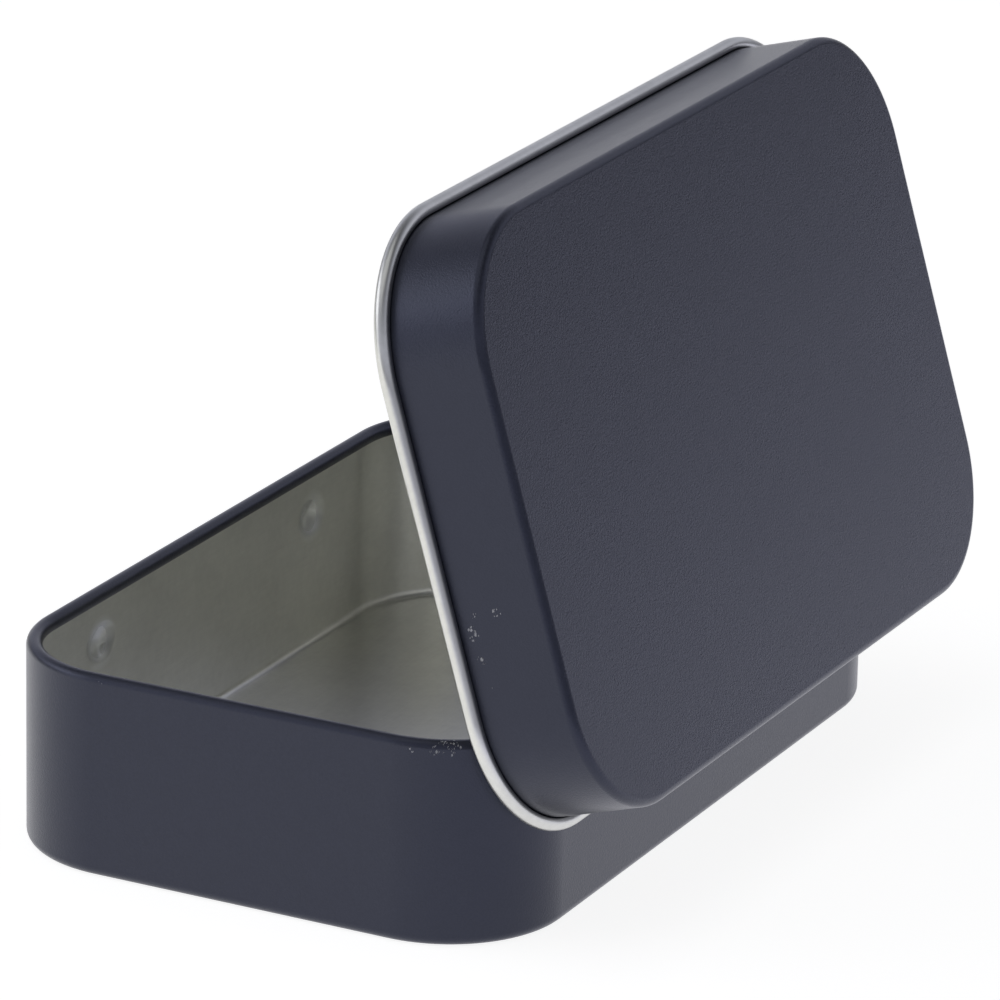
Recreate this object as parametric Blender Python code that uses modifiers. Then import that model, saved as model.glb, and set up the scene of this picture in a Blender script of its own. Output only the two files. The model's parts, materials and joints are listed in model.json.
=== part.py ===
"""A small rectangular tin with rounded corners and a hinged lid, modelled as formed sheet metal.

The base and the lid are each one drawn piece of tinplate. The base's outer face is rolled inward at
the rim, and the lid's inner face is rolled outward into a bead. Two loops are lanced out of the
base's back wall and curl round short steel wires, which lie in the lid's bead. Origin at the centre
of the underside, +Z up, +X along the length, the hinge at +Y. The lid stands open.
"""

import math

import bmesh
import bpy
from mathutils import Vector

# Sheet metal, common to both shells
SHEET = 0.00025

# Base: outside sizes
BASE_LENGTH = 0.0902
BASE_WIDTH = 0.0573
BASE_HEIGHT = 0.0208
BASE_CORNER = 0.0125
FOOT_RADIUS = 0.00105
RIM_RADIUS = 0.0008
RIM_TURN_DEGREES = 270

# Lid: depth from the hinge axis to the panel's outer face, and the rolled bead
LID_DEPTH = 0.0102
PANEL_RADIUS = 0.0008
SKIRT_DRAFT = 0.00012
BEAD_RADIUS = 0.00075
BEAD_TURN_DEGREES = 285
LID_OPEN_DEGREES = 73.3

# Clearances between the closed lid and the base
BACK_GAP = 0.0003
SIDE_GAP = 0.0005
RIM_CLEARANCE = 0.00035
SWING_CLEARANCE = 0.00004

# Hinge: a lanced loop and a wire on each side of the middle
HINGE_INSET = 0.0106
LOOP_WIDTH = 0.008
LOOP_TURN_DEGREES = 260
LOOP_BEND_SHARE = 0.5
LANCE_SLIT = 0.0002
WIRE_CLEARANCE = 0.0001
WIRE_HOLD = 0.0035
NOTCH_SIDE_GAP = 0.0005
NOTCH_TOP_GAP = 0.00035

# Catch: two oval bumps pressed out of the front wall
CATCH_INSET = 0.0107
CATCH_LENGTH = 0.006
CATCH_HEIGHT = 0.0044
CATCH_PLACE_SHARE = 0.69
CATCH_CLEARANCE = 0.00015
CATCH_SOFTNESS = 1.3

# Facets
CORNER_STEPS = 8
FOOT_STEPS = 3
ROLL_STEPS = 11
LOOP_STEPS = 11
BEND_STEPS = 3
CATCH_RINGS = 3
CATCH_MARGIN_RINGS = 1
WIRE_SIDES = 12

# Distances for merging and picking points, far below any size above
MERGE = SHEET / 50
PICK = SHEET / 10

# Places that follow from the sizes
hinge_height = BASE_HEIGHT + RIM_CLEARANCE + SHEET - LID_DEPTH
hinge_y = BASE_WIDTH / 2 + BACK_GAP + BEAD_RADIUS
hinge_x = BASE_LENGTH / 2 - BASE_CORNER - HINGE_INSET
catch_x = BASE_LENGTH / 2 - BASE_CORNER - CATCH_INSET
catch_z = CATCH_PLACE_SHARE * BASE_HEIGHT
wire_radius = BEAD_RADIUS - SHEET - WIRE_CLEARANCE
loop_radius = wire_radius + WIRE_CLEARANCE + SHEET

# The front skirt swings inward as it rises past the rim, so the front gap is the widest
rim_rise = BASE_HEIGHT - RIM_RADIUS - hinge_height
swing_inset = rim_rise**2 / (2 * (hinge_y + BASE_WIDTH / 2))
front_gap = swing_inset + SWING_CLEARANCE
catch_rise = front_gap - CATCH_CLEARANCE

lid_length = BASE_LENGTH + 2 * SIDE_GAP
lid_width = BASE_WIDTH + BACK_GAP + front_gap
lid_corner = BASE_CORNER + SIDE_GAP
lid_shift = (BACK_GAP - front_gap) / 2


def material(name, color, roughness, metallic):
    made = bpy.data.materials.new(name)
    made.use_nodes = True
    shader = made.node_tree.nodes["Principled BSDF"]
    shader.inputs["Base Color"].default_value = (*color, 1)
    shader.inputs["Roughness"].default_value = roughness
    shader.inputs["Metallic"].default_value = metallic
    return made


def arc(centre, radius, start_degrees, turn_degrees, steps):
    """Points (distance, height) along an arc, its first one included."""
    angles = [math.radians(start_degrees + turn_degrees * i / steps) for i in range(steps + 1)]
    return [(centre[0] + radius * math.cos(a), centre[1] + radius * math.sin(a)) for a in angles]


def run(bm, edges, move):
    """Extrudes the edges by a vector and gives the new ones."""
    made = bmesh.ops.extrude_edge_only(bm, edges=edges)["geom"]
    verts = [item for item in made if isinstance(item, bmesh.types.BMVert)]
    bmesh.ops.translate(bm, verts=verts, vec=move)
    return [item for item in made if isinstance(item, bmesh.types.BMEdge)]


def drawn_half(profile, length, width, corner):
    """The x > 0 half of a drawn shell: a profile of distances from the corner's axis and heights,
    spun round the corner, run along the straight sides and mirrored front to back."""
    bm = bmesh.new()
    x = length / 2 - corner
    y = width / 2 - corner
    verts = [bm.verts.new((x + distance, y, height)) for distance, height in profile]
    first = [bm.edges.new(pair) for pair in zip(verts, verts[1:])]
    spun = bmesh.ops.spin(
        bm, geom=verts + first, cent=(x, y, 0), axis=(0, 0, 1), angle=math.pi / 2, steps=CORNER_STEPS
    )
    last = [item for item in spun["geom_last"] if isinstance(item, bmesh.types.BMEdge)]
    run(bm, last, Vector((-x, 0, 0)))
    run(bm, first, Vector((0, -y, 0)))
    middle = [
        edge
        for edge in bm.edges
        if all(abs(vert.co.x - x) < PICK for vert in edge.verts)
        and abs(edge.calc_length() - y) < PICK
        and all(abs(vert.co.z - profile[0][1]) < PICK for vert in edge.verts)
    ]
    run(bm, middle, Vector((-x, 0, 0)))
    bmesh.ops.mirror(bm, geom=bm.verts[:] + bm.edges[:] + bm.faces[:], axis="Y")
    bmesh.ops.remove_doubles(bm, verts=bm.verts[:], dist=MERGE)
    return bm


def score(bm, inside, points, normal):
    """Cuts the faces whose centres pass inside() along planes of one normal through the points."""
    for point in points:
        faces = [face for face in bm.faces if inside(face.calc_center_median())]
        edges = list({edge for face in faces for edge in face.edges})
        verts = list({vert for face in faces for vert in face.verts})
        bmesh.ops.bisect_plane(
            bm, geom=verts + edges + faces, dist=MERGE, plane_co=point, plane_no=normal
        )


def remove_faces(bm, inside):
    faces = [face for face in bm.faces if inside(face.calc_center_median())]
    bmesh.ops.delete(bm, geom=faces, context="FACES")


def finish_sheet(bm, name, skin, other, keep_up):
    """An object from half a sheet: the material grows away from the modelled skin, whose widest flat
    face looks up or down, and the piece is mirrored across x = 0."""
    bmesh.ops.recalc_face_normals(bm, faces=bm.faces[:])
    widest = max(bm.faces, key=lambda face: face.calc_area())
    if (widest.normal.z > 0) != keep_up:
        bmesh.ops.reverse_faces(bm, faces=bm.faces[:])
    mesh = bpy.data.meshes.new(name)
    bm.to_mesh(mesh)
    bm.free()
    mesh.materials.append(skin)
    mesh.materials.append(other)
    mesh.shade_smooth()
    mesh.set_sharp_from_angle(angle=math.radians(40))
    piece = bpy.data.objects.new(name, mesh)
    mirror = piece.modifiers.new("both halves", "MIRROR")
    mirror.use_axis[0] = True
    mirror.use_clip = True
    mirror.merge_threshold = MERGE
    sheet = piece.modifiers.new("sheet", "SOLIDIFY")
    sheet.thickness = SHEET
    sheet.offset = -1
    sheet.use_even_offset = True
    sheet.use_quality_normals = True
    sheet.material_offset = 1
    return piece


def lance_loop(bm):
    """Opens a window in the back wall and curls the strip that it came from round the wire."""
    reach = BACK_GAP + BEAD_RADIUS
    bend = LOOP_BEND_SHARE * reach
    root = hinge_height - loop_radius - bend
    bend_points = arc((bend - reach, -loop_radius - bend), bend, 180, -90, BEND_STEPS)
    loop_points = arc((0, 0), loop_radius, -90, LOOP_TURN_DEGREES, LOOP_STEPS)
    path = bend_points + loop_points
    strip = sum(math.dist(a, b) for a, b in zip(path, path[1:]))
    half_slot = LOOP_WIDTH / 2 + LANCE_SLIT

    def on_wall(c):
        straight = c.x < BASE_LENGTH / 2 - BASE_CORNER
        return straight and c.y > BASE_WIDTH / 2 - PICK and FOOT_RADIUS < c.z < BASE_HEIGHT - RIM_RADIUS

    edges = (-half_slot, -LOOP_WIDTH / 2, LOOP_WIDTH / 2, half_slot)
    score(bm, on_wall, [Vector((0, 0, root)), Vector((0, 0, root + strip))], Vector((0, 0, 1)))
    score(
        bm,
        lambda c: on_wall(c) and root < c.z < root + strip,
        [Vector((hinge_x + edge, 0, 0)) for edge in edges],
        Vector((1, 0, 0)),
    )
    remove_faces(bm, lambda c: on_wall(c) and root < c.z < root + strip and abs(c.x - hinge_x) < half_slot)
    edge = [
        edge
        for edge in bm.edges
        if all(abs(vert.co.z - root) < PICK and vert.co.y > 0 for vert in edge.verts)
        and all(abs(abs(vert.co.x - hinge_x) - LOOP_WIDTH / 2) < PICK for vert in edge.verts)
    ]
    for (y0, z0), (y1, z1) in zip(path, path[1:]):
        edge = run(bm, edge, Vector((0, y1 - y0, z1 - z0)))


def press_catch(bm):
    """Presses an oval bump out of the front wall: a rectangle of the wall is cut into a grid, and
    the grid's inner rings are drawn in to ovals."""
    grid = (CATCH_RINGS + CATCH_MARGIN_RINGS) / CATCH_RINGS
    half = Vector((CATCH_LENGTH, 0, CATCH_HEIGHT)) / 2
    centre = Vector((catch_x, -BASE_WIDTH / 2, catch_z))
    across = Vector((grid * half.x, 0, 0))
    upright = Vector((0, 0, grid * half.z))

    def on_wall(c):
        straight = c.x < BASE_LENGTH / 2 - BASE_CORNER
        return straight and c.y < PICK - BASE_WIDTH / 2 and FOOT_RADIUS < c.z < BASE_HEIGHT - RIM_RADIUS

    def in_row(c):
        return on_wall(c) and abs(c.z - catch_z) < upright.z

    score(bm, on_wall, [centre - upright, centre + upright], upright)
    score(bm, in_row, [centre - across, centre + across], across)
    patch = [
        face
        for face in bm.faces
        if in_row(face.calc_center_median()) and abs(face.calc_center_median().x - catch_x) < across.x
    ]
    cuts = 2 * (CATCH_RINGS + CATCH_MARGIN_RINGS) - 1
    bmesh.ops.subdivide_edges(bm, edges=patch[0].edges[:], cuts=cuts, use_grid_fill=True)
    for vert in bm.verts:
        u = (vert.co.x - centre.x) / half.x
        v = (vert.co.z - centre.z) / half.z
        ring = max(abs(u), abs(v))
        if abs(vert.co.y - centre.y) > PICK or ring > grid:
            continue
        margin = max(0, (ring - 1) / (grid - 1))
        draw = (1 - margin) * ring / max(math.hypot(u, v), ring) + margin
        distance = draw * math.hypot(u, v)
        vert.co.x = centre.x + draw * u * half.x
        vert.co.z = centre.z + draw * v * half.z
        vert.co.y -= catch_rise * max(0, 1 - distance**2) ** CATCH_SOFTNESS


def base_shell():
    wall = BASE_CORNER
    foot = arc((wall - FOOT_RADIUS, FOOT_RADIUS), FOOT_RADIUS, -90, 90, FOOT_STEPS)
    rim_centre = (wall - RIM_RADIUS, BASE_HEIGHT - RIM_RADIUS)
    rim = arc(rim_centre, RIM_RADIUS, 0, RIM_TURN_DEGREES, ROLL_STEPS)
    bm = drawn_half([(0, 0)] + foot + rim, BASE_LENGTH, BASE_WIDTH, BASE_CORNER)
    lance_loop(bm)
    press_catch(bm)
    coat = material("base_coat", (0.02, 0.021, 0.031), 0.3, 0)
    tinplate = material("base_tinplate", (0.46, 0.47, 0.43), 0.38, 1)
    return finish_sheet(bm, "base_shell", coat, tinplate, keep_up=False)


def lid_shell():
    """The lid as it lies closed, with its origin on the hinge axis."""
    inner = PANEL_RADIUS - SHEET
    top = lid_corner - SKIRT_DRAFT
    ceiling = LID_DEPTH - SHEET
    edge = arc((top - inner, ceiling - inner), inner, 90, -90, FOOT_STEPS)
    bead = arc((lid_corner + BEAD_RADIUS, 0), BEAD_RADIUS, 180, BEAD_TURN_DEGREES, ROLL_STEPS)
    bm = drawn_half([(0, ceiling)] + edge + bead, lid_length, lid_width, lid_corner)
    half_notch = LOOP_WIDTH / 2 + NOTCH_SIDE_GAP
    notch_top = loop_radius + NOTCH_TOP_GAP

    def on_skirt(c):
        straight = c.x < lid_length / 2 - lid_corner
        return straight and c.y > lid_width / 2 - SKIRT_DRAFT and c.z < ceiling - inner

    score(bm, on_skirt, [Vector((0, 0, notch_top))], Vector((0, 0, 1)))
    sides = [Vector((hinge_x + side, 0, 0)) for side in (-half_notch, half_notch)]
    score(bm, lambda c: on_skirt(c) and c.z < notch_top, sides, Vector((1, 0, 0)))
    remove_faces(bm, lambda c: on_skirt(c) and c.z < notch_top and abs(c.x - hinge_x) < half_notch)
    bmesh.ops.translate(bm, verts=bm.verts[:], vec=(0, lid_shift - hinge_y, 0))
    tinplate = material("lid_tinplate", (0.62, 0.62, 0.6), 0.34, 1)
    coat = material("lid_coat", (0.02, 0.021, 0.031), 0.3, 0)
    return finish_sheet(bm, "lid_shell", tinplate, coat, keep_up=False)


def hinge_wire(name, x, steel):
    """A short wire in the lid's bead, which runs through the base's loop."""
    length = LOOP_WIDTH + 2 * NOTCH_SIDE_GAP + 2 * WIRE_HOLD
    bpy.ops.mesh.primitive_cylinder_add(
        vertices=WIRE_SIDES, radius=wire_radius, depth=length, location=(x, 0, 0), rotation=(0, math.pi / 2, 0)
    )
    wire = bpy.context.object
    wire.name = name
    wire.data.name = name
    wire.data.materials.append(steel)
    wire.data.shade_smooth()
    wire.data.set_sharp_from_angle(angle=math.radians(40))
    return wire


def put_in(collection, piece):
    for other in piece.users_collection:
        other.objects.unlink(piece)
    collection.objects.link(piece)


def main():
    for piece in list(bpy.data.objects):
        bpy.data.objects.remove(piece, do_unlink=True)
    tin = bpy.data.collections.new("hinged_tin")
    bpy.context.scene.collection.children.link(tin)
    put_in(tin, base_shell())

    axis = bpy.data.objects.new("lid_hinge_axis", None)
    axis.empty_display_size = BEAD_RADIUS
    axis.location = (0, hinge_y, hinge_height)
    axis.rotation_euler.x = -math.radians(LID_OPEN_DEGREES)
    tin.objects.link(axis)
    steel = material("hinge_steel", (0.5, 0.5, 0.5), 0.35, 1)
    wires = [hinge_wire("hinge_wire_left", -hinge_x, steel), hinge_wire("hinge_wire_right", hinge_x, steel)]
    for piece in [lid_shell()] + wires:
        put_in(tin, piece)
        piece.parent = axis


main()
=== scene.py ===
"""The finish of a small hinged tin: a dark sandy powder coat outside, bare satin tinplate inside.

Each shell is one sheet in two layers, a thin coat and the tinplate under it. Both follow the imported
part: its overall sizes, its hinge axis and the angle at which its lid stands.
"""

import json
import math

import bmesh
import bpy
from mathutils import Matrix, Vector


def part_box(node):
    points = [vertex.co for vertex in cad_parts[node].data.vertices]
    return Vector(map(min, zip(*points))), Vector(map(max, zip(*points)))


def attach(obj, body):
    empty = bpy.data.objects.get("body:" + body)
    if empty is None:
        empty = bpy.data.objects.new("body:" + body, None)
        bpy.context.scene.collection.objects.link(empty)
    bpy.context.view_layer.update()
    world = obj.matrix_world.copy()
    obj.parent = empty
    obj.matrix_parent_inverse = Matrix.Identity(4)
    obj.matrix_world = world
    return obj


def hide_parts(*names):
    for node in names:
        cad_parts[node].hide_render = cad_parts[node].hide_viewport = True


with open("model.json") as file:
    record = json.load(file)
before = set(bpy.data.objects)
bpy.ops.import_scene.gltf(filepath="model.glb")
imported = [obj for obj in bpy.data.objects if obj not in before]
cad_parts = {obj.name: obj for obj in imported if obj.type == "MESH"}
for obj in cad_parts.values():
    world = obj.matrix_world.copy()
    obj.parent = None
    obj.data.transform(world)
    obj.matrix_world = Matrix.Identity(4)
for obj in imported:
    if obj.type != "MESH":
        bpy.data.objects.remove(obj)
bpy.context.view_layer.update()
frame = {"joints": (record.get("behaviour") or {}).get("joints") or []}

MM = 0.001

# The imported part: the base's box, the hinge axis and how far the lid stands open
base_low, base_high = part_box("base_shell")
hinge = frame["joints"][0]
hinge_point = Vector(hinge["pos_m"])
lid_open = -math.radians(hinge["range_deg"][0])

# Sheet metal and its coat
SHEET = 0.25 * MM
COAT = 0.05 * MM

# Base
BASE_CORNER = 12.5 * MM
FOOT_RADIUS = 1.05 * MM
RIM_RADIUS = 0.8 * MM
RIM_TURN_DEGREES = 270

# Lid
LID_DEPTH = 10.2 * MM
PANEL_RADIUS = 0.86 * MM
SKIRT_DRAFT = 0.12 * MM
BEAD_RADIUS = 0.75 * MM
BEAD_TURN_DEGREES = 306

# Rounding of the cut edges, no wider than a layer's thickness over the number of parts
EDGE_ROUND = 0.06 * MM
EDGE_PARTS = 3
EDGE_SEGMENTS = 2

# Clearances between the closed lid and the base
BACK_GAP = 0.3 * MM
SIDE_GAP = 0.5 * MM
SWING_CLEARANCE = 0.04 * MM

# Hinge loops, wires and the notches over them
HINGE_INSET = 10.6 * MM
LOOP_WIDTH = 8.0 * MM
LOOP_TURN_DEGREES = 260
LOOP_BEND_SHARE = 0.5
LANCE_SLIT = 0.2 * MM
WIRE_CLEARANCE = 0.1 * MM
WIRE_HOLD = 3.5 * MM
NOTCH_SIDE_GAP = 0.5 * MM
NOTCH_TOP_GAP = 0.35 * MM

# Catch bumps
CATCH_INSET = 10.7 * MM
CATCH_LENGTH = 6.0 * MM
CATCH_HEIGHT = 4.4 * MM
CATCH_PLACE_SHARE = 0.69
CATCH_CLEARANCE = 0.15 * MM
CATCH_SOFTNESS = 1.3

# Facets
CORNER_STEPS = 32
FOOT_STEPS = 8
ROLL_STEPS = 28
LOOP_STEPS = 28
BEND_STEPS = 8
CATCH_RINGS = 13
CATCH_MARGIN_RINGS = 4
WIRE_SIDES = 32
SHARP_ANGLE = math.radians(40)
CUT_ANGLE = math.radians(60)
MERGE = SHEET / 100
PICK = SHEET / 20

# Sizes that follow
base_length = base_high.x - base_low.x
base_width = 2 * (hinge_point.y - BACK_GAP - BEAD_RADIUS)
base_height = base_high.z
rim_rise = base_height - RIM_RADIUS - hinge_point.z
swing_inset = rim_rise**2 / (2 * (hinge_point.y + base_width / 2))
front_gap = swing_inset + SWING_CLEARANCE
catch_rise = front_gap - CATCH_CLEARANCE
lid_length = base_length + 2 * SIDE_GAP
lid_width = base_width + BACK_GAP + front_gap
lid_corner = BASE_CORNER + SIDE_GAP
lid_shift = (BACK_GAP - front_gap) / 2
hinge_x = base_length / 2 - BASE_CORNER - HINGE_INSET
catch_x = base_length / 2 - BASE_CORNER - CATCH_INSET
catch_z = CATCH_PLACE_SHARE * base_height
wire_radius = BEAD_RADIUS - SHEET - WIRE_CLEARANCE
loop_radius = wire_radius + WIRE_CLEARANCE + SHEET
lid_place = Matrix.Translation(hinge_point) @ Matrix.Rotation(-lid_open, 4, "X")

# Camera, fitted to the photograph's outlines
CAMERA_AZIMUTH_DEGREES = 116.75
CAMERA_ELEVATION_DEGREES = 19.29
CAMERA_ROLL_DEGREES = 1.2
CAMERA_DISTANCE = 697.9 * MM
CAMERA_TARGET = Vector((15.8, 12.6, 34.8)) * MM
CAMERA_LENS_MM = 259.6
CAMERA_NEAR = 10 * MM
CAMERA_FAR = 20.0


def toward(azimuth_degrees, elevation_degrees):
    """The direction from the tin to a camera or a lamp, with azimuth 0 straight in front."""
    azimuth = math.radians(azimuth_degrees)
    elevation = math.radians(elevation_degrees)
    return Vector(
        (
            math.sin(azimuth) * math.cos(elevation),
            -math.cos(azimuth) * math.cos(elevation),
            math.sin(elevation),
        )
    )


def place_camera():
    roll = math.radians(CAMERA_ROLL_DEGREES)
    back = toward(CAMERA_AZIMUTH_DEGREES, CAMERA_ELEVATION_DEGREES)
    level = Vector((0, 0, 1)).cross(back).normalized()
    upright = back.cross(level)
    right = math.cos(roll) * level + math.sin(roll) * upright
    up = back.cross(right)
    data = bpy.data.cameras.new("camera")
    data.lens = CAMERA_LENS_MM
    data.clip_start = CAMERA_NEAR
    data.clip_end = CAMERA_FAR
    camera = bpy.data.objects.new("camera", data)
    camera.matrix_world = Matrix.Translation(CAMERA_TARGET + CAMERA_DISTANCE * back) @ Matrix(
        (right, up, back)
    ).transposed().to_4x4()
    bpy.context.scene.collection.objects.link(camera)
    bpy.context.scene.camera = camera


# Mesh tools


def arc(centre, radius, start_degrees, turn_degrees, steps):
    """Points (distance, height) along an arc, its first one included."""
    angles = [math.radians(start_degrees + turn_degrees * i / steps) for i in range(steps + 1)]
    return [(centre[0] + radius * math.cos(a), centre[1] + radius * math.sin(a)) for a in angles]


def run(bm, edges, move):
    """Extrudes the edges by a vector and gives the new ones."""
    made = bmesh.ops.extrude_edge_only(bm, edges=edges)["geom"]
    verts = [item for item in made if isinstance(item, bmesh.types.BMVert)]
    bmesh.ops.translate(bm, verts=verts, vec=move)
    return [item for item in made if isinstance(item, bmesh.types.BMEdge)]


def drawn_half(profile, length, width, corner):
    """The x > 0 half of a drawn shell: a profile of distances from the corner's axis and heights,
    spun round the corner, run along the straight sides and mirrored front to back."""
    bm = bmesh.new()
    x = length / 2 - corner
    y = width / 2 - corner
    verts = [bm.verts.new((x + distance, y, height)) for distance, height in profile]
    first = [bm.edges.new(pair) for pair in zip(verts, verts[1:])]
    spun = bmesh.ops.spin(
        bm, geom=verts + first, cent=(x, y, 0), axis=(0, 0, 1), angle=math.pi / 2, steps=CORNER_STEPS
    )
    last = [item for item in spun["geom_last"] if isinstance(item, bmesh.types.BMEdge)]
    run(bm, last, Vector((-x, 0, 0)))
    run(bm, first, Vector((0, -y, 0)))
    middle = [
        edge
        for edge in bm.edges
        if all(abs(vert.co.x - x) < PICK for vert in edge.verts)
        and abs(edge.calc_length() - y) < PICK
        and all(abs(vert.co.z - profile[0][1]) < PICK for vert in edge.verts)
    ]
    run(bm, middle, Vector((-x, 0, 0)))
    bmesh.ops.mirror(bm, geom=bm.verts[:] + bm.edges[:] + bm.faces[:], axis="Y")
    bmesh.ops.remove_doubles(bm, verts=bm.verts[:], dist=MERGE)
    return bm


def score(bm, inside, points, normal):
    """Cuts the faces whose centres pass inside() along planes of one normal through the points."""
    for point in points:
        faces = [face for face in bm.faces if inside(face.calc_center_median())]
        edges = list({edge for face in faces for edge in face.edges})
        verts = list({vert for face in faces for vert in face.verts})
        bmesh.ops.bisect_plane(
            bm, geom=verts + edges + faces, dist=MERGE, plane_co=point, plane_no=normal
        )


def remove_faces(bm, inside):
    faces = [face for face in bm.faces if inside(face.calc_center_median())]
    bmesh.ops.delete(bm, geom=faces, context="FACES")


def turn_down(bm):
    """Turns the skin so that its widest flat face looks down."""
    bmesh.ops.recalc_face_normals(bm, faces=bm.faces[:])
    widest = max(bm.faces, key=lambda face: face.calc_area())
    if widest.normal.z > 0:
        bmesh.ops.reverse_faces(bm, faces=bm.faces[:])


def whole_sheet(bm):
    """Adds the half across x = 0, with the widest flat face looking down."""
    turn_down(bm)
    bmesh.ops.mirror(bm, geom=bm.verts[:] + bm.edges[:] + bm.faces[:], axis="X")
    bmesh.ops.remove_doubles(bm, verts=bm.verts[:], dist=MERGE)
    turn_down(bm)


def sink(bm, depth):
    """Moves the skin under itself by an even depth."""
    bm.normal_update()
    moves = [(vert, vert.normal * vert.calc_shell_factor() * depth) for vert in bm.verts]
    for vert, move in moves:
        vert.co -= move


def layer(skin, name, depth, thickness, place, finish):
    """One layer of a sheet: from a depth under the modelled skin, and as thick as is said."""
    bm = skin.copy()
    sink(bm, depth)
    for face in bm.faces:
        face.smooth = True
    mesh = bpy.data.meshes.new(name)
    bm.to_mesh(mesh)
    bm.free()
    piece = bpy.data.objects.new(name, mesh)
    bpy.context.scene.collection.objects.link(piece)
    wall = piece.modifiers.new("wall", "SOLIDIFY")
    wall.thickness = thickness
    wall.offset = -1
    wall.use_even_offset = True
    wall.use_quality_normals = True
    edges = piece.modifiers.new("cut edges", "BEVEL")
    edges.width = min(EDGE_ROUND, thickness / EDGE_PARTS)
    edges.segments = EDGE_SEGMENTS
    edges.limit_method = "ANGLE"
    edges.angle_limit = CUT_ANGLE
    flats = piece.modifiers.new("true flats", "WEIGHTED_NORMAL")
    flats.mode = "FACE_AREA"
    bake(piece)
    piece.data.transform(place)
    piece.data.materials.append(finish)
    return piece


def bake(piece):
    """Applies a piece's modifiers to its mesh."""
    bpy.context.view_layer.update()
    done = bpy.data.meshes.new_from_object(piece.evaluated_get(bpy.context.evaluated_depsgraph_get()))
    piece.modifiers.clear()
    piece.data = done
    piece.data.name = piece.name


def dress(piece, body, node):
    """Puts a finished piece in the place of its node."""
    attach(piece, body)
    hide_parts(node)


# Shells


def lance_loop(bm):
    """Opens a window in the back wall and curls the strip that it came from round the wire."""
    reach = BACK_GAP + BEAD_RADIUS
    bend = LOOP_BEND_SHARE * reach
    root = hinge_point.z - loop_radius - bend
    bend_points = arc((bend - reach, -loop_radius - bend), bend, 180, -90, BEND_STEPS)
    loop_points = arc((0, 0), loop_radius, -90, LOOP_TURN_DEGREES, LOOP_STEPS)
    path = bend_points + loop_points
    strip = sum(math.dist(a, b) for a, b in zip(path, path[1:]))
    half_slot = LOOP_WIDTH / 2 + LANCE_SLIT

    def on_wall(c):
        straight = c.x < base_length / 2 - BASE_CORNER
        return straight and c.y > base_width / 2 - PICK and FOOT_RADIUS < c.z < base_height - RIM_RADIUS

    edges = (-half_slot, -LOOP_WIDTH / 2, LOOP_WIDTH / 2, half_slot)
    score(bm, on_wall, [Vector((0, 0, root)), Vector((0, 0, root + strip))], Vector((0, 0, 1)))
    score(
        bm,
        lambda c: on_wall(c) and root < c.z < root + strip,
        [Vector((hinge_x + edge, 0, 0)) for edge in edges],
        Vector((1, 0, 0)),
    )
    remove_faces(bm, lambda c: on_wall(c) and root < c.z < root + strip and abs(c.x - hinge_x) < half_slot)
    edge = [
        edge
        for edge in bm.edges
        if all(abs(vert.co.z - root) < PICK and vert.co.y > 0 for vert in edge.verts)
        and all(abs(abs(vert.co.x - hinge_x) - LOOP_WIDTH / 2) < PICK for vert in edge.verts)
    ]
    for (y0, z0), (y1, z1) in zip(path, path[1:]):
        if math.dist((y0, z0), (y1, z1)) > MERGE:
            edge = run(bm, edge, Vector((0, y1 - y0, z1 - z0)))


def press_catch(bm):
    """Presses an oval cap out of the front wall: a rectangle of the wall is cut into a grid, and the
    grid's inner rings are drawn in to ovals."""
    grid = (CATCH_RINGS + CATCH_MARGIN_RINGS) / CATCH_RINGS
    half = Vector((CATCH_LENGTH, 0, CATCH_HEIGHT)) / 2
    centre = Vector((catch_x, -base_width / 2, catch_z))
    across = Vector((grid * half.x, 0, 0))
    upright = Vector((0, 0, grid * half.z))

    def on_wall(c):
        straight = c.x < base_length / 2 - BASE_CORNER
        return straight and c.y < PICK - base_width / 2 and FOOT_RADIUS < c.z < base_height - RIM_RADIUS

    def in_row(c):
        return on_wall(c) and abs(c.z - catch_z) < upright.z

    score(bm, on_wall, [centre - upright, centre + upright], upright)
    score(bm, in_row, [centre - across, centre + across], across)
    patch = [
        face
        for face in bm.faces
        if in_row(face.calc_center_median()) and abs(face.calc_center_median().x - catch_x) < across.x
    ]
    cuts = 2 * (CATCH_RINGS + CATCH_MARGIN_RINGS) - 1
    bmesh.ops.subdivide_edges(bm, edges=patch[0].edges[:], cuts=cuts, use_grid_fill=True)
    for vert in bm.verts:
        u = (vert.co.x - centre.x) / half.x
        v = (vert.co.z - centre.z) / half.z
        ring = max(abs(u), abs(v))
        if abs(vert.co.y - centre.y) > PICK or ring > grid:
            continue
        margin = max(0, (ring - 1) / (grid - 1))
        draw = (1 - margin) * ring / max(math.hypot(u, v), ring) + margin
        distance = draw * math.hypot(u, v)
        vert.co.x = centre.x + draw * u * half.x
        vert.co.z = centre.z + draw * v * half.z
        vert.co.y -= catch_rise * max(0, 1 - distance**2) ** CATCH_SOFTNESS


def base_shell(coat, tinplate):
    wall = BASE_CORNER
    foot = arc((wall - FOOT_RADIUS, FOOT_RADIUS), FOOT_RADIUS, -90, 90, FOOT_STEPS)
    rim_centre = (wall - RIM_RADIUS, base_height - RIM_RADIUS)
    rim = arc(rim_centre, RIM_RADIUS, 0, RIM_TURN_DEGREES, ROLL_STEPS)
    bm = drawn_half([(0, 0)] + foot + rim, base_length, base_width, BASE_CORNER)
    lance_loop(bm)
    press_catch(bm)
    whole_sheet(bm)
    here = Matrix.Identity(4)
    outside = layer(bm, "base_coat", 0, COAT, here, coat)
    inside = layer(bm, "base_tinplate", COAT, SHEET - COAT, here, tinplate)
    bm.free()
    dress(outside, "base", "base_shell")
    dress(inside, "base", "base_shell")


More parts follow.
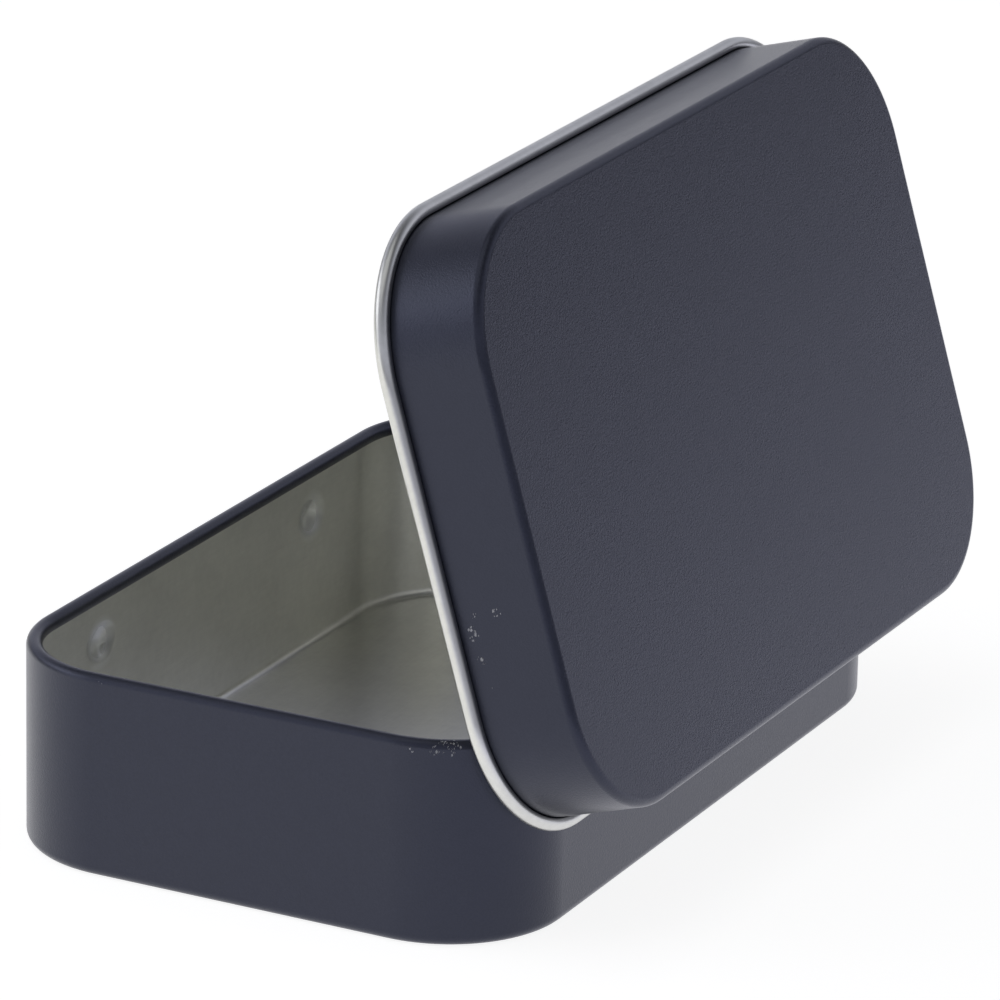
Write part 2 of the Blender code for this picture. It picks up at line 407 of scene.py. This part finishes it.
def lid_shell(coat, tinplate):
    """The lid as it lies closed, with its origin on the hinge axis, then opened."""
    inner = PANEL_RADIUS - SHEET
    top = lid_corner - SKIRT_DRAFT
    ceiling = LID_DEPTH - SHEET
    edge = arc((top - inner, ceiling - inner), inner, 90, -90, FOOT_STEPS)
    bead = arc((lid_corner + BEAD_RADIUS, 0), BEAD_RADIUS, 180, BEAD_TURN_DEGREES, ROLL_STEPS)
    bm = drawn_half([(0, ceiling)] + edge + bead, lid_length, lid_width, lid_corner)
    half_notch = LOOP_WIDTH / 2 + NOTCH_SIDE_GAP
    notch_top = loop_radius + NOTCH_TOP_GAP

    def on_skirt(c):
        straight = c.x < lid_length / 2 - lid_corner
        return straight and c.y > lid_width / 2 - SKIRT_DRAFT and c.z < ceiling - inner

    score(bm, on_skirt, [Vector((0, 0, notch_top))], Vector((0, 0, 1)))
    sides = [Vector((hinge_x + side, 0, 0)) for side in (-half_notch, half_notch)]
    score(bm, lambda c: on_skirt(c) and c.z < notch_top, sides, Vector((1, 0, 0)))
    remove_faces(bm, lambda c: on_skirt(c) and c.z < notch_top and abs(c.x - hinge_x) < half_notch)
    bmesh.ops.translate(bm, verts=bm.verts[:], vec=(0, lid_shift - hinge_point.y, 0))
    whole_sheet(bm)
    inside = layer(bm, "lid_tinplate", 0, SHEET - COAT, lid_place, tinplate)
    outside = layer(bm, "lid_coat", SHEET - COAT, COAT, lid_place, coat)
    bm.free()
    dress(outside, "lid", "lid_shell")
    dress(inside, "lid", "lid_shell")


def hinge_wire(side, steel):
    """A short wire in the lid's bead, which runs through the base's loop."""
    name = "hinge_wire_" + side
    x = hinge_x if side == "right" else -hinge_x
    length = LOOP_WIDTH + 2 * NOTCH_SIDE_GAP + 2 * WIRE_HOLD
    bm = bmesh.new()
    bmesh.ops.create_cone(
        bm, cap_ends=True, segments=WIRE_SIDES, radius1=wire_radius, radius2=wire_radius, depth=length
    )
    bmesh.ops.rotate(bm, verts=bm.verts[:], cent=(0, 0, 0), matrix=Matrix.Rotation(math.pi / 2, 3, "Y"))
    bmesh.ops.translate(bm, verts=bm.verts[:], vec=Vector((x, 0, 0)))
    mesh = bpy.data.meshes.new(name)
    bm.to_mesh(mesh)
    bm.free()
    mesh.transform(lid_place)
    mesh.materials.append(steel)
    mesh.shade_smooth()
    mesh.set_sharp_from_angle(angle=SHARP_ANGLE)
    piece = bpy.data.objects.new(name + "_steel", mesh)
    bpy.context.scene.collection.objects.link(piece)
    dress(piece, "lid", name)


# Finishes

# Most of a noise's values lie between these two
NOISE_LOW = 0.3
NOISE_HIGH = 0.7
FINE_ROUGHNESS = 0.6

# Both layers of a sheet swell together
SWELL_SIZE = 45 * MM
SWELL_DEPTH = 0.05 * MM

COAT_COLOR = (0.02, 0.0215, 0.031)
COAT_ROUGHNESS = 0.29
COAT_ROUGHNESS_SPREAD = 0.012
COAT_SPECULAR = 0.63
COAT_GLOSS_TINT = (0.7, 0.75, 1)
COAT_DARKEST = 0.8
COAT_LIGHTEST = 1.2
SAND_SIZE = 0.2 * MM
SAND_DEPTH = 0.031 * MM
SAND_SHARE = 0.7
CLOUD_SIZE = 1.6 * MM
CLOUD_SHARE = 0.3

TIN_COLOR = (0.675, 0.675, 0.63)
TIN_ROUGHNESS = 0.325
TIN_ROUGHNESS_SPREAD = 0.035
TIN_DULLEST = 0.9
TIN_BRIGHTEST = 1.08
TIN_CLOUD_SIZE = 9 * MM
TIN_CLOUD_SHARE = 0.5
TIN_MOTTLE_SIZE = 0.8 * MM
TIN_MOTTLE_SHARE = 0.25
ROLLING_LINE = 0.35 * MM
ROLLING_SHARE = 0.25

# The catch bumps are burnished to a lower roughness, and their colour is lightened as a painted highlight,
# all over up to the first distance and not past the second
BUMP_HIGHLIGHT_COLOR = (0.86, 0.87, 0.87)
BUMP_ROUGHNESS = 0.19
BURNISH_AND_HIGHLIGHT_TO = CATCH_HEIGHT / 3
BURNISH_AND_HIGHLIGHT_END = CATCH_LENGTH / 2

# Grain that runs along the tin
GRAIN_STRETCH = (0.08, 1, 1)

STEEL_COLOR = (0.55, 0.55, 0.545)
STEEL_ROUGHNESS = 0.24
STEEL_ROUGHNESS_SPREAD = 0.025
DRAWING_LINE = 0.12 * MM
DRAWING_DEPTH = 0.0005 * MM

# Chips in the coat: where it has been knocked, how far round each spot, and how many
CHIPPED_SPOTS = (
    (Vector((45.9, 25.4, 34.9)) * MM, 0.6 * MM),
    (Vector((45.9, 27.6, 35.4)) * MM, 0.6 * MM),
    (Vector((45.9, 25.2, 33.0)) * MM, 0.8 * MM),
    (Vector((45.9, 26.1, 30.6)) * MM, 0.6 * MM),
    (Vector((45.9, 27.1, 28.1)) * MM, 0.4 * MM),
    (Vector((43.6, 21.9, 20.4)) * MM, 1.2 * MM),
    (Vector((44.2, 20.7, 20.2)) * MM, 0.8 * MM),
    (Vector((44.9, 18.4, 19.9)) * MM, 0.5 * MM),
    (Vector((45.1, -15.1, 20.0)) * MM, 0.4 * MM),
)
CHIP_SPACING = 0.22 * MM
CHIP_STRETCH = (1, 1, 0.6)
CHIP_SHARE = 0.8
CHIP_SIZE = 0.75
CHIP_DEPTH = 0.02 * MM
CHIP_COLOR = (0.6, 0.6, 0.62)

# A ragged noise makes each chip's outline shrink or grow by these factors
RAGGED_SIZE = CHIP_SPACING / 4
RAGGED_LOW = 0.35
RAGGED_HIGH = 0.65
RAGGED_SHRINK = 0.3
RAGGED_GROW = 1.5

# A colour mix's sockets by number, since their names repeat
MIX_FIRST = 6
MIX_SECOND = 7
MIX_RESULT = 2


def new_material(name, color, roughness, metallic):
    made = bpy.data.materials.new(name)
    made.use_nodes = True
    shader = made.node_tree.nodes["Principled BSDF"]
    shader.inputs["Base Color"].default_value = (*color, 1)
    shader.inputs["Roughness"].default_value = roughness
    shader.inputs["Metallic"].default_value = metallic
    return made, made.node_tree, shader


def object_point(tree):
    return tree.nodes.new("ShaderNodeTexCoord").outputs["Object"]


def stretched(tree, vector, scale):
    """The point with each axis multiplied by its own scale, for a grain that runs one way."""
    mapping = tree.nodes.new("ShaderNodeMapping")
    mapping.inputs["Scale"].default_value = scale
    tree.links.new(vector, mapping.inputs["Vector"])
    return mapping.outputs["Vector"]


def noise(tree, vector, size, detail, roughness=0.5):
    """Noise between 0 and 1 with features of about the given size."""
    node = tree.nodes.new("ShaderNodeTexNoise")
    node.inputs["Scale"].default_value = 1 / size
    node.inputs["Detail"].default_value = detail
    node.inputs["Roughness"].default_value = roughness
    tree.links.new(vector, node.inputs["Vector"])
    return node.outputs["Fac"]


def ranged(tree, value, low, high, to_low, to_high):
    node = tree.nodes.new("ShaderNodeMapRange")
    node.inputs["From Min"].default_value = low
    node.inputs["From Max"].default_value = high
    node.inputs["To Min"].default_value = to_low
    node.inputs["To Max"].default_value = to_high
    tree.links.new(value, node.inputs["Value"])
    return node.outputs["Result"]


def spread(tree, value, low, high):
    """A noise spread over a range."""
    return ranged(tree, value, NOISE_LOW, NOISE_HIGH, low, high)


def distance_from(tree, point, place):
    away = tree.nodes.new("ShaderNodeVectorMath")
    away.operation = "DISTANCE"
    away.inputs[1].default_value = place
    tree.links.new(point, away.inputs[0])
    return away.outputs["Value"]


def combined(tree, operation, first, second):
    """A sum, product or the like of an output with an output or a number."""
    node = tree.nodes.new("ShaderNodeMath")
    node.operation = operation
    tree.links.new(first, node.inputs[0])
    if isinstance(second, (int, float)):
        node.inputs[1].default_value = second
    else:
        tree.links.new(second, node.inputs[1])
    return node.outputs[0]


def blended(tree, factor, first, second):
    """Two colours blended; each is an output or a triple."""
    node = tree.nodes.new("ShaderNodeMix")
    node.data_type = "RGBA"
    tree.links.new(factor, node.inputs["Factor"])
    for number, color in ((MIX_FIRST, first), (MIX_SECOND, second)):
        if isinstance(color, tuple):
            node.inputs[number].default_value = (*color, 1)
        else:
            tree.links.new(color, node.inputs[number])
    return node.outputs[MIX_RESULT]


def raised(tree, height, depth, under=None):
    """A bump of the given full depth, over another bump if there is one."""
    node = tree.nodes.new("ShaderNodeBump")
    node.inputs["Strength"].default_value = 1
    node.inputs["Distance"].default_value = depth
    tree.links.new(height, node.inputs["Height"])
    if under:
        tree.links.new(under, node.inputs["Normal"])
    return node.outputs["Normal"]


def scattered_chips(tree, point):
    """A mask of tiny chips in the coat, thickest at the middle of each knocked spot."""
    spots = None
    for place, reach in CHIPPED_SPOTS:
        near = ranged(tree, distance_from(tree, point, place), 0, reach, 1, 0)
        spots = combined(tree, "MAXIMUM", near, spots) if spots else near
    cells = tree.nodes.new("ShaderNodeTexVoronoi")
    cells.inputs["Scale"].default_value = 1 / CHIP_SPACING
    tree.links.new(stretched(tree, point, CHIP_STRETCH), cells.inputs["Vector"])
    parts = tree.nodes.new("ShaderNodeSeparateColor")
    tree.links.new(cells.outputs["Color"], parts.inputs["Color"])
    chosen = combined(tree, "LESS_THAN", parts.outputs["Red"], combined(tree, "MULTIPLY", spots, CHIP_SHARE))
    ragged = noise(tree, point, RAGGED_SIZE, 2)
    change = ranged(tree, ragged, RAGGED_LOW, RAGGED_HIGH, RAGGED_SHRINK, RAGGED_GROW)
    size = combined(tree, "MULTIPLY", parts.outputs["Green"], CHIP_SIZE)
    size = combined(tree, "MULTIPLY", size, change)
    within = combined(tree, "LESS_THAN", cells.outputs["Distance"], size)
    return combined(tree, "MULTIPLY", chosen, within)


def swelling(tree, point):
    """The sheet's faint waviness."""
    return raised(tree, noise(tree, point, SWELL_SIZE, 1), SWELL_DEPTH)


def powder_coat():
    made, tree, shader = new_material("powder_coat", COAT_COLOR, COAT_ROUGHNESS, 0)
    shader.inputs["Specular IOR Level"].default_value = COAT_SPECULAR
    shader.inputs["Specular Tint"].default_value = (*COAT_GLOSS_TINT, 1)
    point = object_point(tree)
    sand = noise(tree, point, SAND_SIZE, 3, FINE_ROUGHNESS)
    cloud = noise(tree, point, CLOUD_SIZE, 3)
    chips = scattered_chips(tree, point)
    darker = tuple(part * COAT_DARKEST for part in COAT_COLOR)
    lighter = tuple(part * COAT_LIGHTEST for part in COAT_COLOR)
    grain = combined(tree, "ADD", spread(tree, sand, 0, SAND_SHARE), spread(tree, cloud, 0, CLOUD_SHARE))
    color = blended(tree, chips, blended(tree, grain, darker, lighter), CHIP_COLOR)
    tree.links.new(color, shader.inputs["Base Color"])
    smoothest = COAT_ROUGHNESS - COAT_ROUGHNESS_SPREAD
    rough = ranged(tree, grain, 0, 1, smoothest, COAT_ROUGHNESS + COAT_ROUGHNESS_SPREAD)
    tree.links.new(rough, shader.inputs["Roughness"])
    sandy = raised(tree, sand, SAND_DEPTH, swelling(tree, point))
    pitted = raised(tree, combined(tree, "MULTIPLY", chips, -1), CHIP_DEPTH, sandy)
    tree.links.new(pitted, shader.inputs["Normal"])
    return made


def satin_tinplate():
    made, tree, shader = new_material("satin_tinplate", TIN_COLOR, TIN_ROUGHNESS, 1)
    point = object_point(tree)
    lines = noise(tree, stretched(tree, point, GRAIN_STRETCH), ROLLING_LINE, 3, FINE_ROUGHNESS)
    mottle = noise(tree, point, TIN_MOTTLE_SIZE, 2)
    cloud = noise(tree, point, TIN_CLOUD_SIZE, 4, FINE_ROUGHNESS)
    rolled = spread(tree, lines, 0, ROLLING_SHARE)
    fine = combined(tree, "ADD", rolled, spread(tree, mottle, 0, TIN_MOTTLE_SHARE))
    tone = combined(tree, "ADD", fine, spread(tree, cloud, 0, TIN_CLOUD_SHARE))
    dull = tuple(part * TIN_DULLEST for part in TIN_COLOR)
    bright = tuple(part * TIN_BRIGHTEST for part in TIN_COLOR)
    color = blended(tree, tone, dull, bright)
    roughest = TIN_ROUGHNESS + TIN_ROUGHNESS_SPREAD
    rough = ranged(tree, tone, 0, 1, roughest, TIN_ROUGHNESS - TIN_ROUGHNESS_SPREAD)
    for side in (-1, 1):
        away = distance_from(tree, point, (side * catch_x, -base_width / 2, catch_z))
        burnish_and_highlight = ranged(tree, away, BURNISH_AND_HIGHLIGHT_TO, BURNISH_AND_HIGHLIGHT_END, 1, 0)
        # The lighter colour on each bump is a painted highlight; the lower roughness beside it is the
        # burnish
        color = blended(tree, burnish_and_highlight, color, BUMP_HIGHLIGHT_COLOR)
        rough = combined(tree, "MINIMUM", rough, ranged(tree, burnish_and_highlight, 1, 0, BUMP_ROUGHNESS, 1))
    tree.links.new(color, shader.inputs["Base Color"])
    tree.links.new(rough, shader.inputs["Roughness"])
    tree.links.new(swelling(tree, point), shader.inputs["Normal"])
    return made


def drawn_steel():
    made, tree, shader = new_material("drawn_steel", STEEL_COLOR, STEEL_ROUGHNESS, 1)
    point = object_point(tree)
    lines = noise(tree, stretched(tree, point, GRAIN_STRETCH), DRAWING_LINE, 2, FINE_ROUGHNESS)
    dull = tuple(part * TIN_DULLEST for part in STEEL_COLOR)
    tree.links.new(blended(tree, lines, dull, STEEL_COLOR), shader.inputs["Base Color"])
    smoothest = STEEL_ROUGHNESS - STEEL_ROUGHNESS_SPREAD
    rough = spread(tree, lines, smoothest, STEEL_ROUGHNESS + STEEL_ROUGHNESS_SPREAD)
    tree.links.new(rough, shader.inputs["Roughness"])
    tree.links.new(raised(tree, lines, DRAWING_DEPTH), shader.inputs["Normal"])
    return made


# Studio

FLOOR_REACH = 3.0
FLOOR_COLOR = 0.9
FLOOR_ROUGHNESS = 0.9

# The floor that the eye sees glows near white and still keeps the tin's shadow
FLOOR_SEEN_COLOR = 0.4
FLOOR_SEEN_GLOW = 0.88

# The glow of the floor that gloss mirrors, near the tin and far behind it
FLOOR_GLOW = 0.98
FLOOR_FAR_GLOW = 0.6

# Where along Y the mirrored floor turns bluer, and where its glow falls
FLOOR_NEUTRAL_TO = 0
FLOOR_BLUE_FROM = 0.15
FLOOR_BRIGHT_TO = 0.1
FLOOR_DIM_FROM = 0.7

ROOM_LIGHT = 0.2

# How pale the room looks, by the sine of the angle above the floor
ROOM_LEVELS = ((0, 0.05), (0.12, 0.09), (0.25, 0.78), (0.5, 0.64), (0.9, 0.08))

# Daylight is a little cool, and the room and the floor behind the tin are bluer
LIGHT_COLOR = (0.95, 0.96, 1)
ROOM_COLOR = (0.82, 0.84, 1)
TABLE_COLOR = (0.99, 0.985, 1)
BEHIND_COLOR = (0.79, 0.805, 1)

LAMP_DISTANCE = 1.2

# Each lamp's azimuth and elevation in degrees, width and height in metres, and watts
LAMPS = {
    "top_lamp": (60, 75, 1.0, 1.0, 1.8),
    "back_lamp": (-63, 6, 1.0, 0.25, 0.52),
    "left_lamp": (27, 30, 0.9, 0.6, 2.1),
    "low_lamp": (52, 6, 0.9, 0.3, 0.9),
}


def shown_by_ray(tree, seen, mirrored, lighting):
    """Mixes three shaders: one that the eye sees, one that gloss and glass show, and one that lights."""
    path = tree.nodes.new("ShaderNodeLightPath")
    either = tree.nodes.new("ShaderNodeMath")
    either.operation = "MAXIMUM"
    tree.links.new(path.outputs["Is Glossy Ray"], either.inputs[0])
    tree.links.new(path.outputs["Is Transmission Ray"], either.inputs[1])
    mixed = lighting
    for chosen, shader in ((either.outputs[0], mirrored), (path.outputs["Is Camera Ray"], seen)):
        mix = tree.nodes.new("ShaderNodeMixShader")
        tree.links.new(chosen, mix.inputs[0])
        tree.links.new(mixed, mix.inputs[1])
        tree.links.new(shader, mix.inputs[2])
        mixed = mix.outputs[0]
    return mixed


def light_world():
    """A pale room, greyer overhead, that gives an even light."""
    world = bpy.data.worlds.new("pale_room")
    world.use_nodes = True
    tree = world.node_tree
    plain = tree.nodes["Background"]
    plain.inputs["Color"].default_value = (*LIGHT_COLOR, 1)
    plain.inputs["Strength"].default_value = ROOM_LIGHT
    white = tree.nodes.new("ShaderNodeBackground")
    white.inputs["Color"].default_value = (1, 1, 1, 1)
    white.inputs["Strength"].default_value = 1
    direction = tree.nodes.new("ShaderNodeSeparateXYZ")
    tree.links.new(tree.nodes.new("ShaderNodeTexCoord").outputs["Generated"], direction.inputs[0])
    levels = tree.nodes.new("ShaderNodeValToRGB")
    while len(levels.color_ramp.elements) < len(ROOM_LEVELS):
        levels.color_ramp.elements.new(1)
    for stop, (rise, level) in zip(levels.color_ramp.elements, ROOM_LEVELS):
        stop.position = rise
        stop.color = (*(level * part for part in ROOM_COLOR), 1)
    tree.links.new(direction.outputs["Z"], levels.inputs["Fac"])
    pale = tree.nodes.new("ShaderNodeBackground")
    tree.links.new(levels.outputs["Color"], pale.inputs["Color"])
    pale.inputs["Strength"].default_value = 1
    room = shown_by_ray(tree, white.outputs[0], pale.outputs[0], plain.outputs[0])
    tree.links.new(room, tree.nodes["World Output"].inputs["Surface"])
    bpy.context.scene.world = world


def lay_floor():
    bm = bmesh.new()
    bmesh.ops.create_grid(bm, x_segments=1, y_segments=1, size=FLOOR_REACH)
    mesh = bpy.data.meshes.new("floor")
    bm.to_mesh(mesh)
    bm.free()
    floor = bpy.data.objects.new("floor", mesh)
    bpy.context.scene.collection.objects.link(floor)
    made, tree, shader = new_material("white_floor", (FLOOR_COLOR,) * 3, FLOOR_ROUGHNESS, 0)
    mesh.materials.append(made)
    paper = tree.nodes.new("ShaderNodeBsdfDiffuse")
    paper.inputs["Color"].default_value = (FLOOR_SEEN_COLOR,) * 3 + (1,)
    place = tree.nodes.new("ShaderNodeSeparateXYZ")
    tree.links.new(object_point(tree), place.inputs[0])
    fall = ranged(tree, place.outputs["Y"], FLOOR_BRIGHT_TO, FLOOR_DIM_FROM, 0, 1)
    behind = ranged(tree, place.outputs["Y"], FLOOR_NEUTRAL_TO, FLOOR_BLUE_FROM, 0, 1)
    neutral = tuple(FLOOR_GLOW * part for part in TABLE_COLOR)
    blue = tuple(FLOOR_GLOW * part for part in BEHIND_COLOR)
    dim = tuple(FLOOR_FAR_GLOW * part for part in BEHIND_COLOR)
    shade = blended(tree, fall, blended(tree, behind, neutral, blue), dim)
    glowing = []
    for color, strength in ((None, FLOOR_SEEN_GLOW), (shade, 1)):
        glow = tree.nodes.new("ShaderNodeEmission")
        glow.inputs["Strength"].default_value = strength
        if color:
            tree.links.new(color, glow.inputs["Color"])
        add = tree.nodes.new("ShaderNodeAddShader")
        tree.links.new(paper.outputs[0], add.inputs[0])
        tree.links.new(glow.outputs[0], add.inputs[1])
        glowing.append(add.outputs[0])
    surface = shown_by_ray(tree, *glowing, shader.outputs[0])
    tree.links.new(surface, tree.nodes["Material Output"].inputs["Surface"])


def hang_lamp(name, azimuth_degrees, elevation_degrees, width, height, watts):
    back = toward(azimuth_degrees, elevation_degrees)
    data = bpy.data.lights.new(name, "AREA")
    data.shape = "RECTANGLE"
    data.size = width
    data.size_y = height
    data.energy = watts
    data.color = LIGHT_COLOR
    lamp = bpy.data.objects.new(name, data)
    lamp.location = back * LAMP_DISTANCE
    lamp.rotation_euler = back.to_track_quat("Z", "Y").to_euler()
    bpy.context.scene.collection.objects.link(lamp)


def main():
    place_camera()
    coat = powder_coat()
    tinplate = satin_tinplate()
    steel = drawn_steel()
    base_shell(coat, tinplate)
    lid_shell(coat, tinplate)
    for side in ("left", "right"):
        hinge_wire(side, steel)
    light_world()
    lay_floor()
    for name, settings in LAMPS.items():
        hang_lamp(name, *settings)
    bpy.context.scene.view_settings.view_transform = "Standard"


main()
